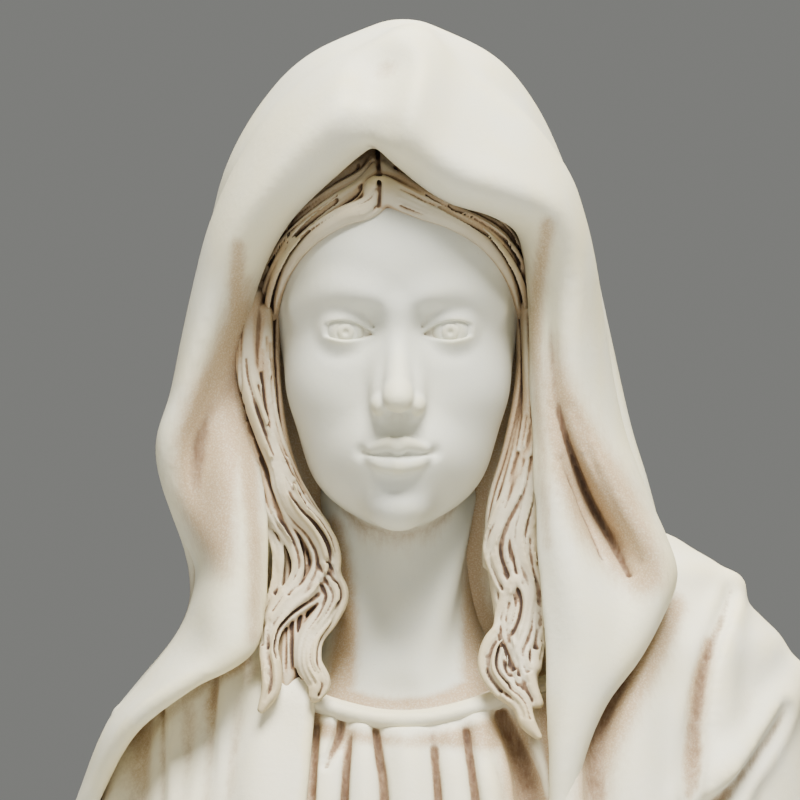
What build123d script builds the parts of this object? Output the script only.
"""Standing madonna garden statue: hollow castings bonded round a steel armature on a round plinth.

Frame: +Z up, origin on the ground under the middle of the plinth, the figure faces -Y.
"right" and "left" are the figure's own, so her right side is at -X. Millimetres.
"""

from build123d import *
import os

# ---- driving dimensions -------------------------------------------------------------
PLINTH_HEIGHT = 46.0
PLINTH_RADIUS = 168.0
WALL = 9.0  # casting wall
BED = 0.4  # adhesive bed between castings
WAIST_Z = 752.0
SHOULDER_Z = 930.0  # split between bodice and chest
CHIN_Z = 1005.0

# Drapery outlines: height, half width, half depth, middle x, middle y of each oval section.
SKIRT = [
    (PLINTH_HEIGHT, 128, 106, 0, 0),
    (170, 115, 96, 0, 2),
    (340, 106, 90, 1, 4),
    (520, 108, 88, 3, 4),
    (660, 99, 79, 5, 2),
    (WAIST_Z, 84, 66, 6, 0),
]
BODICE = [
    (WAIST_Z, 84, 66, 6, 0),
    (800, 90, 72, 8, -2),
    (855, 97, 76, 11, -4),
    (905, 92, 66, 10, 0),
    (SHOULDER_Z, 80, 57, 8, 4),
]
MANTLE_BODY = [
    (104, 156, 130, 0, 14),
    (260, 144, 122, 0, 14),
    (460, 142, 118, 3, 14),
    (640, 148, 116, 6, 10),
    (WAIST_Z, 150, 112, 8, 8),
]
MANTLE_TOP = [
    (WAIST_Z + BED, 150, 112, 8, 8),
    (820, 150, 106, 13, 8),
    (880, 144, 95, 20, 10),
    (930, 131, 78, 27, 12),
    (962, 112, 66, 34, 14),
    (984, 94, 56, 30, 16),
]
VEIL_FALL = [
    (902, 124, 102, 0, 16),
    (932, 116, 92, 3, 16),
    (964, 102, 82, 10, 18),
    (985, 96, 77, 12, 21),
]
HOOD = [
    (981, 92, 76, 13, 22),
    (1012, 96, 78, 4, 21),
    (1045, 91, 78, 0, 20),
    (1080, 83, 77, 0, 19),
    (1115, 75, 75, 0, 17),
    (1145, 66, 72, -1, 11),
    (1169, 53, 60, 0, 9),
    (1188, 36, 43, 1, 7),
    (1200, 14, 18, 1, 6),
]
HEAD = [
    (CHIN_Z, 13, 13, 0, -37),
    (1014, 25, 29, 0, -25),
    (1030, 36, 43, 0, -13),
    (1055, 44, 54, 0, -4),
    (1090, 48, 61, 0, 3),
    (1120, 46, 61, 0, 6),
    (1142, 36, 49, 0, 8),
    (1156, 18, 26, 0, 9),
]
NECK = [
    (SHOULDER_Z + BED, 62, 46, 0, 6),
    (948, 46, 38, 0, 8),
    (970, 31, 31, 0, 9),
    (1000, 27, 28, 0, 9),
    (1030, 27, 28, 0, 9),
]

SASH_WIDTH = 24.0
SASH_HALF_WIDTH = 94.0
SASH_HALF_DEPTH = 76.0
SASH_THICKNESS = 5.0
SASH_X = 6.0

# Arms: the sign of the side is -1 for her right and 1 for her left.
ELBOWS = {-1: (-120.0, 6.0, 752.0), 1: (134.0, 6.0, 752.0)}
WRIST_X = 17.0
WRIST_Y = -104.0
WRIST_Z = 786.0
SLEEVE_ELBOW_RADIUS = 30.0
SLEEVE_CUFF_RADIUS = 26.0
CUFF_SETBACK = 14.0  # from the wrist back to the edge of the cuff
CUFF_SOLID = 46.0  # length of solid casting behind the cuff, which takes the wrist and dowel
WRIST_RADIUS = 11.0
WRIST_PLUG = 20.0
HAND_LENGTH = 104.0
HAND_TILT = 20.0  # degrees that the joined hands lean forward

# Steel armature inside the castings.
PLATE_RADIUS = 150.0
PLATE_THICKNESS = 6.0
PLATE_RECESS = 6.0
SEAT_RADIUS = 136.0  # inner edge of the plinth's foot ring that the plate is screwed to
PLATE_SCREW_CIRCLE = 143.0
PLATE_SCREW_COUNT = 6
PLATE_SCREW_RADIUS = 2.5
ANCHOR_CIRCLE = 100.0
ANCHOR_COUNT = 4
ANCHOR_BORE_RADIUS = 5.0
ANCHOR_OUTER_RADIUS = 8.0
ANCHOR_LENGTH = 30.0
DRAIN_OUTER_RADIUS = 9.0
DRAIN_BORE_RADIUS = 5.0
DRAIN_X = 80.0
FLANGE_SIDE = 120.0
FLANGE_THICKNESS = 8.0
FLANGE_BOLT_SPACING = 92.0
FLANGE_BOLT_RADIUS = 4.0
MAST_RADIUS = 16.85
MAST_WALL = 2.6
MAST_HOLE_RADIUS = 62.0
MAST_TOP_Z = 905.0
GUSSET_HEIGHT = 60.0
GUSSET_REACH = 34.0
GUSSET_THICKNESS = 5.0
CROSSBAR_RADIUS = 8.0
CROSSBAR_Z = 880.0
CROSSBAR_LENGTH = 150.0
CROSSBAR_X = 10.0
CAP_THICKNESS = 8.0
HEAD_PIN_RADIUS = 6.0
HEAD_PIN_TOP_Z = 1090.0
NUT_HEIGHT = 10.0
NUT_RADIUS = 10.0
HAND_DOWEL_RADIUS = 3.0
HAND_DOWEL_LENGTH = 48.0

plate_top = PLATE_RECESS + PLATE_THICKNESS
flange_top = plate_top + FLANGE_THICKNESS
cap_top = MAST_TOP_Z + CAP_THICKNESS

os.makedirs("parts", exist_ok=True)


def write(piece, label):
    piece.part.label = label
    export_step(piece.part, f"parts/{label}.step")


def oval_loft(sections, grow=0.0, extend=0.0):
    """Solid through the oval sections, each half axis grown, its two ends moved out by extend."""
    heights = [section[0] for section in sections]
    with BuildPart() as solid:
        for z, half_width, half_depth, x, y in sections:
            shift = extend if z == heights[-1] else -extend if z == heights[0] else 0
            with BuildSketch(Plane.XY.offset(z + shift)):
                with Locations((x, y)):
                    Ellipse(half_width + grow, half_depth + grow)
        loft()
    return solid.part


def shifted(sections, dz):
    """The same outline with every section moved up by dz."""
    return [(z + dz, *rest) for z, *rest in sections]


def forearm(side):
    """Plane on the wrist, its normal pointing back along the forearm to the elbow."""
    wrist = Vector(side * WRIST_X, WRIST_Y, WRIST_Z)
    return Plane(origin=wrist, z_dir=Vector(*ELBOWS[side]) - wrist)


def tapered_arm(side, grow=0.0, setback=CUFF_SETBACK):
    """Cone from the cuff back to the elbow, starting at setback behind the wrist."""
    wrist = forearm(side)
    reach = (Vector(*ELBOWS[side]) - wrist.origin).length
    with BuildPart() as arm:
        with BuildSketch(wrist.offset(setback)):
            Circle(SLEEVE_CUFF_RADIUS + grow)
        with BuildSketch(wrist.offset(reach)):
            Circle(SLEEVE_ELBOW_RADIUS + grow)
        loft()
    return arm.part


def rod(side, radius, start, end):
    """Round bar along the forearm between two distances behind the wrist."""
    with BuildPart() as bar:
        with BuildSketch(forearm(side).offset(start)):
            Circle(radius)
        extrude(amount=end - start)
    return bar.part


def ring_of(count, radius, start=0.0):
    return PolarLocations(radius, count, start_angle=start)


# ---- plinth and what closes it ------------------------------------------------------
with BuildPart() as plinth:
    with BuildSketch(Plane.XZ):
        with BuildLine():
            Polyline(
                (PLATE_RADIUS + 1, 0),
                (PLINTH_RADIUS, 0),
                (PLINTH_RADIUS, 15),
                (PLINTH_RADIUS - 5, 19),
            )
            RadiusArc((PLINTH_RADIUS - 5, 19), (PLINTH_RADIUS - 15, 32), 16)
            Polyline(
                (PLINTH_RADIUS - 15, 32),
                (PLINTH_RADIUS - 15, PLINTH_HEIGHT - 4),
                (PLINTH_RADIUS - 19, PLINTH_HEIGHT),
                (MAST_HOLE_RADIUS, PLINTH_HEIGHT),
                (MAST_HOLE_RADIUS, PLINTH_HEIGHT - WALL),
                (SEAT_RADIUS, PLINTH_HEIGHT - WALL),
                (SEAT_RADIUS, plate_top),
                (PLATE_RADIUS + 1, plate_top),
                (PLATE_RADIUS + 1, 0),
            )
        make_face()
    revolve(axis=Axis.Z)
    with BuildSketch(Plane.XY.offset(plate_top)):
        with ring_of(PLATE_SCREW_COUNT, PLATE_SCREW_CIRCLE):
            Circle(PLATE_SCREW_RADIUS)
    extrude(amount=14, mode=Mode.SUBTRACT)
write(plinth, "plinth")

with BuildPart() as base_plate:
    with BuildSketch(Plane.XY.offset(PLATE_RECESS)):
        Circle(PLATE_RADIUS)
        with ring_of(PLATE_SCREW_COUNT, PLATE_SCREW_CIRCLE):
            Circle(PLATE_SCREW_RADIUS + 0.5, mode=Mode.SUBTRACT)
        with ring_of(ANCHOR_COUNT, ANCHOR_CIRCLE, 45):
            Circle(ANCHOR_OUTER_RADIUS, mode=Mode.SUBTRACT)
        with GridLocations(FLANGE_BOLT_SPACING, FLANGE_BOLT_SPACING, 2, 2):
            Circle(FLANGE_BOLT_RADIUS + 0.5, mode=Mode.SUBTRACT)
        with Locations((DRAIN_X, 0), (-DRAIN_X, 0)):
            Circle(DRAIN_OUTER_RADIUS - 2, mode=Mode.SUBTRACT)
    extrude(amount=PLATE_THICKNESS)
write(base_plate, "base_plate")

with BuildPart() as plate_screws:
    with BuildSketch(Plane.XY.offset(PLATE_RECESS - 3)):
        with ring_of(PLATE_SCREW_COUNT, PLATE_SCREW_CIRCLE):
            RegularPolygon(5.5, 6)
    extrude(amount=3)
    with BuildSketch(Plane.XY.offset(PLATE_RECESS)):
        with ring_of(PLATE_SCREW_COUNT, PLATE_SCREW_CIRCLE):
            Circle(PLATE_SCREW_RADIUS - 0.05)
    extrude(amount=PLATE_THICKNESS + 12)
write(plate_screws, "plate_screws")

with BuildPart() as anchor_inserts:
    with BuildSketch(Plane.XY.offset(PLATE_RECESS)):
        with ring_of(ANCHOR_COUNT, ANCHOR_CIRCLE, 45):
            Circle(ANCHOR_OUTER_RADIUS)
            Circle(ANCHOR_BORE_RADIUS, mode=Mode.SUBTRACT)
    extrude(amount=ANCHOR_LENGTH)
write(anchor_inserts, "anchor_inserts")

with BuildPart() as drain_grommets:
    with BuildSketch(Plane.XY.offset(PLATE_RECESS - 2)):
        with Locations((DRAIN_X, 0), (-DRAIN_X, 0)):
            Circle(DRAIN_OUTER_RADIUS)
            Circle(DRAIN_BORE_RADIUS, mode=Mode.SUBTRACT)
    extrude(amount=2)
    with BuildSketch(Plane.XY.offset(PLATE_RECESS)):
        with Locations((DRAIN_X, 0), (-DRAIN_X, 0)):
            Circle(DRAIN_OUTER_RADIUS - 2)
            Circle(DRAIN_BORE_RADIUS, mode=Mode.SUBTRACT)
    extrude(amount=PLATE_THICKNESS)
write(drain_grommets, "drain_grommets")

# ---- steel armature ----------------------------------------------------------------
with BuildPart() as mast_flange:
    with BuildSketch(Plane.XY.offset(plate_top)):
        RectangleRounded(FLANGE_SIDE, FLANGE_SIDE, 10)
        with GridLocations(FLANGE_BOLT_SPACING, FLANGE_BOLT_SPACING, 2, 2):
            Circle(FLANGE_BOLT_RADIUS + 0.5, mode=Mode.SUBTRACT)
    extrude(amount=FLANGE_THICKNESS)
write(mast_flange, "mast_flange")

with BuildPart() as flange_bolts:
    with BuildSketch(Plane.XY.offset(PLATE_RECESS - 4)):
        with GridLocations(FLANGE_BOLT_SPACING, FLANGE_BOLT_SPACING, 2, 2):
            RegularPolygon(7.5, 6)
    extrude(amount=4)
    with BuildSketch(Plane.XY.offset(PLATE_RECESS)):
        with GridLocations(FLANGE_BOLT_SPACING, FLANGE_BOLT_SPACING, 2, 2):
            Circle(FLANGE_BOLT_RADIUS)
    extrude(amount=PLATE_THICKNESS + FLANGE_THICKNESS)
    with BuildSketch(Plane.XY.offset(flange_top)):
        with GridLocations(FLANGE_BOLT_SPACING, FLANGE_BOLT_SPACING, 2, 2):
            RegularPolygon(7.5, 6)
    extrude(amount=6.5)
write(flange_bolts, "flange_bolts")

with BuildPart() as mast_tube:
    with BuildSketch(Plane.XY.offset(flange_top)):
        Circle(MAST_RADIUS)
        Circle(MAST_RADIUS - MAST_WALL, mode=Mode.SUBTRACT)
    extrude(amount=MAST_TOP_Z - flange_top)
    with BuildSketch(Plane.YZ):
        with Locations((0, CROSSBAR_Z)):
            Circle(CROSSBAR_RADIUS)
    extrude(amount=MAST_RADIUS + 1, both=True, mode=Mode.SUBTRACT)
write(mast_tube, "mast_tube")

with BuildPart() as mast_gussets:
    for turn in range(4):
        side = Plane.XZ.rotated((0, 0, 90 * turn)).offset(-GUSSET_THICKNESS / 2)
        with BuildSketch(side):
            with BuildLine():
                Polyline(
                    (MAST_RADIUS + 0.2, flange_top),
                    (MAST_RADIUS + GUSSET_REACH, flange_top),
                    (MAST_RADIUS + GUSSET_REACH, flange_top + 8),
                    (MAST_RADIUS + 6, flange_top + GUSSET_HEIGHT),
                    (MAST_RADIUS + 0.2, flange_top + GUSSET_HEIGHT),
                    close=True,
                )
            make_face()
        extrude(amount=GUSSET_THICKNESS)
write(mast_gussets, "mast_gussets")

with BuildPart() as shoulder_crossbar:
    with BuildSketch(Plane.YZ.offset(CROSSBAR_X - CROSSBAR_LENGTH / 2)):
        with Locations((0, CROSSBAR_Z)):
            Circle(CROSSBAR_RADIUS)
    extrude(amount=CROSSBAR_LENGTH)
write(shoulder_crossbar, "shoulder_crossbar")

with BuildPart() as mast_cap:
    with BuildSketch(Plane.XY.offset(MAST_TOP_Z)):
        Circle(MAST_RADIUS + 4)
        Circle(HEAD_PIN_RADIUS + 0.3, mode=Mode.SUBTRACT)
    extrude(amount=CAP_THICKNESS)
write(mast_cap, "mast_cap")

with BuildPart() as head_pin:
    with BuildSketch(Plane.XY.offset(MAST_TOP_Z - 16)):
        Circle(HEAD_PIN_RADIUS)
    extrude(amount=HEAD_PIN_TOP_Z - MAST_TOP_Z + 16)
write(head_pin, "head_pin")

with BuildPart() as head_pin_nuts:
    for bottom in (MAST_TOP_Z - NUT_HEIGHT, cap_top):
        with BuildSketch(Plane.XY.offset(bottom)):
            RegularPolygon(NUT_RADIUS, 6)
            Circle(HEAD_PIN_RADIUS, mode=Mode.SUBTRACT)
        extrude(amount=NUT_HEIGHT)
write(head_pin_nuts, "head_pin_nuts")

# ---- head, hair and neck -----------------------------------------------------------
with BuildPart() as head_and_neck:
    add(oval_loft(HEAD))
    add(oval_loft(NECK))
    with BuildSketch(Plane.XY.offset(SHOULDER_Z - 1)):
        Circle(HEAD_PIN_RADIUS + 1)
    extrude(amount=HEAD_PIN_TOP_Z - SHOULDER_Z + 1, mode=Mode.SUBTRACT)
write(head_and_neck, "head_and_neck")

# The front hair is a rolled band over the forehead, parted in the middle.
HAIR_BAND = [
    (-49, -10, 1092),
    (-43, -28, 1120),
    (-2, -49, 1143),
    (43, -28, 1120),
    (49, -10, 1092),
]
HAIR_BAND_RADIUS = 8.0
with BuildPart() as hair_crown:
    with BuildLine() as band:
        Spline(*HAIR_BAND)
    with BuildSketch(Plane(band.line @ 0, z_dir=band.line % 0)):
        Circle(HAIR_BAND_RADIUS)
    sweep()
    add(head_and_neck.part, mode=Mode.SUBTRACT)
write(hair_crown, "hair_crown")


def hair_fall(points, radii):
    """One side's locks as a soft solid that narrows to its tip."""
    with BuildPart() as fall:
        for place, radius in zip(points, radii):
            with BuildSketch(Plane.XY.offset(place[2])):
                with Locations((place[0], place[1])):
                    Ellipse(radius, radius * 0.8)
        loft()
    return fall.part


HAIR_SIDES = {
    "hair_right": {
        "places": [(-52, -8, 1083), (-54, -20, 1040), (-46, -40, 990), (-44, -58, 955)],
        "radii": (12, 14, 13, 7),
    },
    "hair_left": {
        "places": [(52, -8, 1083), (51, -20, 1040), (44, -42, 990), (46, -58, 955)],
        "radii": (11, 11, 11, 6),
    },
}
hair_falls = {}
for name, shape in HAIR_SIDES.items():
    with BuildPart() as locks:
        add(hair_fall(shape["places"], shape["radii"]))
        add(head_and_neck.part, mode=Mode.SUBTRACT)
    hair_falls[name] = locks.part
    write(locks, name)

# ---- gown --------------------------------------------------------------------------
with BuildPart() as gown_skirt:
    add(oval_loft(SKIRT))
    add(oval_loft(SKIRT, grow=-WALL, extend=1), mode=Mode.SUBTRACT)
write(gown_skirt, "gown_skirt")

with BuildPart() as gown_bodice:
    add(oval_loft(BODICE))
    add(oval_loft(BODICE, grow=-WALL, extend=1), mode=Mode.SUBTRACT)
write(gown_bodice, "gown_bodice")

with BuildPart() as neckband:
    with BuildSketch(Plane.XY.offset(SHOULDER_Z + BED)):
        with Locations((4, 6)):
            Ellipse(74, 54)
        with Locations((0, 6)):
            Ellipse(62.6, 46.6, mode=Mode.SUBTRACT)
    extrude(amount=9)
write(neckband, "neckband")

with BuildPart() as sash:
    with BuildSketch(Plane.XY.offset(WAIST_Z - SASH_WIDTH / 2)):
        with Locations((SASH_X, 0)):
            Ellipse(SASH_HALF_WIDTH, SASH_HALF_DEPTH)
            Ellipse(
                SASH_HALF_WIDTH - SASH_THICKNESS,
                SASH_HALF_DEPTH - SASH_THICKNESS,
                mode=Mode.SUBTRACT,
            )
    extrude(amount=SASH_WIDTH)
write(sash, "sash")

# ---- sleeves and hands -------------------------------------------------------------
dowel_start = CUFF_SETBACK - 6
dowel_end = dowel_start + HAND_DOWEL_LENGTH
sash_envelope_z = WAIST_Z - SASH_WIDTH / 2 - BED
for label, side in (("sleeve_right", -1), ("sleeve_left", 1)):
    with BuildPart() as sleeve:
        add(tapered_arm(side))
        add(tapered_arm(side, grow=-WALL, setback=CUFF_SETBACK + CUFF_SOLID), mode=Mode.SUBTRACT)
        add(rod(side, WRIST_RADIUS + BED, 0, CUFF_SETBACK + WRIST_PLUG + BED), mode=Mode.SUBTRACT)
        add(rod(side, HAND_DOWEL_RADIUS, dowel_start, dowel_end), mode=Mode.SUBTRACT)
        add(oval_loft(BODICE, grow=BED, extend=BED), mode=Mode.SUBTRACT)
        add(oval_loft(SKIRT, grow=BED, extend=BED), mode=Mode.SUBTRACT)
        with BuildSketch(Plane.XY.offset(sash_envelope_z)):
            with Locations((SASH_X, 0)):
                Ellipse(SASH_HALF_WIDTH + BED, SASH_HALF_DEPTH + BED)
        extrude(amount=SASH_WIDTH + 2 * BED, mode=Mode.SUBTRACT)
    write(sleeve, label)

# Joined hands, palms touching on the middle plane, each with a wrist that plugs into its cuff.
palm = Plane(origin=(0, WRIST_Y, WRIST_Z), x_dir=(1, 0, 0), z_dir=(0, 0, 1)).rotated((HAND_TILT, 0, 0))
HAND_SHAPE = [(-6, 17, 22), (26, 14, 33), (58, 12, 34), (84, 9, 26), (HAND_LENGTH, 5, 10)]
for label, side in (("hand_right", -1), ("hand_left", 1)):
    with BuildPart() as hand:
        for reach, thickness, width in HAND_SHAPE:
            with BuildSketch(palm.offset(reach)):
                with Locations((side * (thickness / 2 + BED / 2), 0)):
                    RectangleRounded(thickness, width, thickness * 0.4)
        loft()
        add(rod(side, WRIST_RADIUS, 0, CUFF_SETBACK + WRIST_PLUG))
        with BuildSketch(Plane.YZ):
            with Locations((WRIST_Y, WRIST_Z)):
                Rectangle(80, 80)
        extrude(amount=-side * 40, mode=Mode.SUBTRACT)
        add(rod(side, HAND_DOWEL_RADIUS, dowel_start, dowel_end), mode=Mode.SUBTRACT)
    write(hand, label)

with BuildPart() as hand_dowels:
    for side in (-1, 1):
        add(rod(side, HAND_DOWEL_RADIUS, dowel_start, dowel_end))
write(hand_dowels, "hand_dowels")

# ---- mantle ------------------------------------------------------------------------
# The mantle hangs open in front, further to her left, and its two front edges turn back
# to the gown, so that each half is a closed shell bonded along the gown.
MANTLE_BODY_OPENING = (-78, 86)
MANTLE_TOP_OPENING = (-40, 58)


def mantle_shell(outline, inside, opening, gown, cutters):
    """Shell between the outline and its inside, open in front between the two x values."""
    low, high = opening
    bottom, top = outline[0][0] - 5, outline[-1][0] + 5
    with BuildPart() as hollow:
        add(inside)
        with BuildSketch(Plane.XY.offset(bottom)):
            with Locations((low - WALL / 2, -80), (high + WALL / 2, -80)):
                Rectangle(WALL, 160)
        extrude(amount=top - bottom, mode=Mode.SUBTRACT)
    with BuildPart() as shell:
        add(oval_loft(outline))
        add(hollow.part, mode=Mode.SUBTRACT)
        with BuildSketch(Plane.XY.offset(bottom)):
            with Locations(((low + high) / 2, -80)):
                Rectangle(high - low, 160)
        extrude(amount=top - bottom, mode=Mode.SUBTRACT)
        add(oval_loft(gown, grow=BED, extend=2), mode=Mode.SUBTRACT)
        for cutter in cutters:
            add(cutter, mode=Mode.SUBTRACT)
    return shell


grown_sleeves = [tapered_arm(side, grow=BED) for side in (-1, 1)]
mantle_body = mantle_shell(
    MANTLE_BODY,
    oval_loft(MANTLE_BODY, grow=-WALL, extend=1),
    MANTLE_BODY_OPENING,
    SKIRT,
    [*grown_sleeves, sash.part],
)
write(mantle_body, "mantle_body")
mantle_shoulders = mantle_shell(
    MANTLE_TOP,
    oval_loft(shifted(MANTLE_TOP, -WALL), grow=-WALL),
    MANTLE_TOP_OPENING,
    BODICE,
    [*grown_sleeves, *hair_falls.values(), sash.part, oval_loft(NECK, grow=BED), neckband.part],
)
write(mantle_shoulders, "mantle_shoulders")

# ---- veil --------------------------------------------------------------------------
with BuildPart() as veil:
    add(oval_loft(VEIL_FALL))
    add(oval_loft(HOOD))
    add(oval_loft(shifted(HOOD, -WALL), grow=-WALL), mode=Mode.SUBTRACT)
    add(oval_loft(MANTLE_TOP, grow=BED, extend=2), mode=Mode.SUBTRACT)
    # The face opening is a pointed arch cut from the front.
    with BuildSketch(Plane.XZ.offset(5)):
        with BuildLine():
            Polyline((-64, 890), (-64, 1085))
            ThreePointArc((-64, 1085), (-45, 1135), (-6, 1156))
            ThreePointArc((-6, 1156), (40, 1137), (58, 1090))
            Polyline((58, 1090), (58, 890), (-64, 890))
        make_face()
    extrude(amount=200, mode=Mode.SUBTRACT)
    for hair in (hair_crown.part, *hair_falls.values()):
        add(hair, mode=Mode.SUBTRACT)
write(veil, "veil")

# ---- toes under the hem ------------------------------------------------------------
TOES = [(92, 17, 15), (110, 16, 13), (124, 9, 8)]
for label, side in (("foot_right", -1), ("foot_left", 1)):
    with BuildPart() as foot:
        for reach, half_width, half_height in TOES:
            with BuildSketch(Plane.XZ.offset(reach)):
                with Locations((side * 34, PLINTH_HEIGHT + 3)):
                    Ellipse(half_width, half_height)
        loft()
        split(bisect_by=Plane.XY.offset(PLINTH_HEIGHT), keep=Keep.TOP)
        add(oval_loft(SKIRT, grow=BED, extend=1), mode=Mode.SUBTRACT)
    write(foot, label)
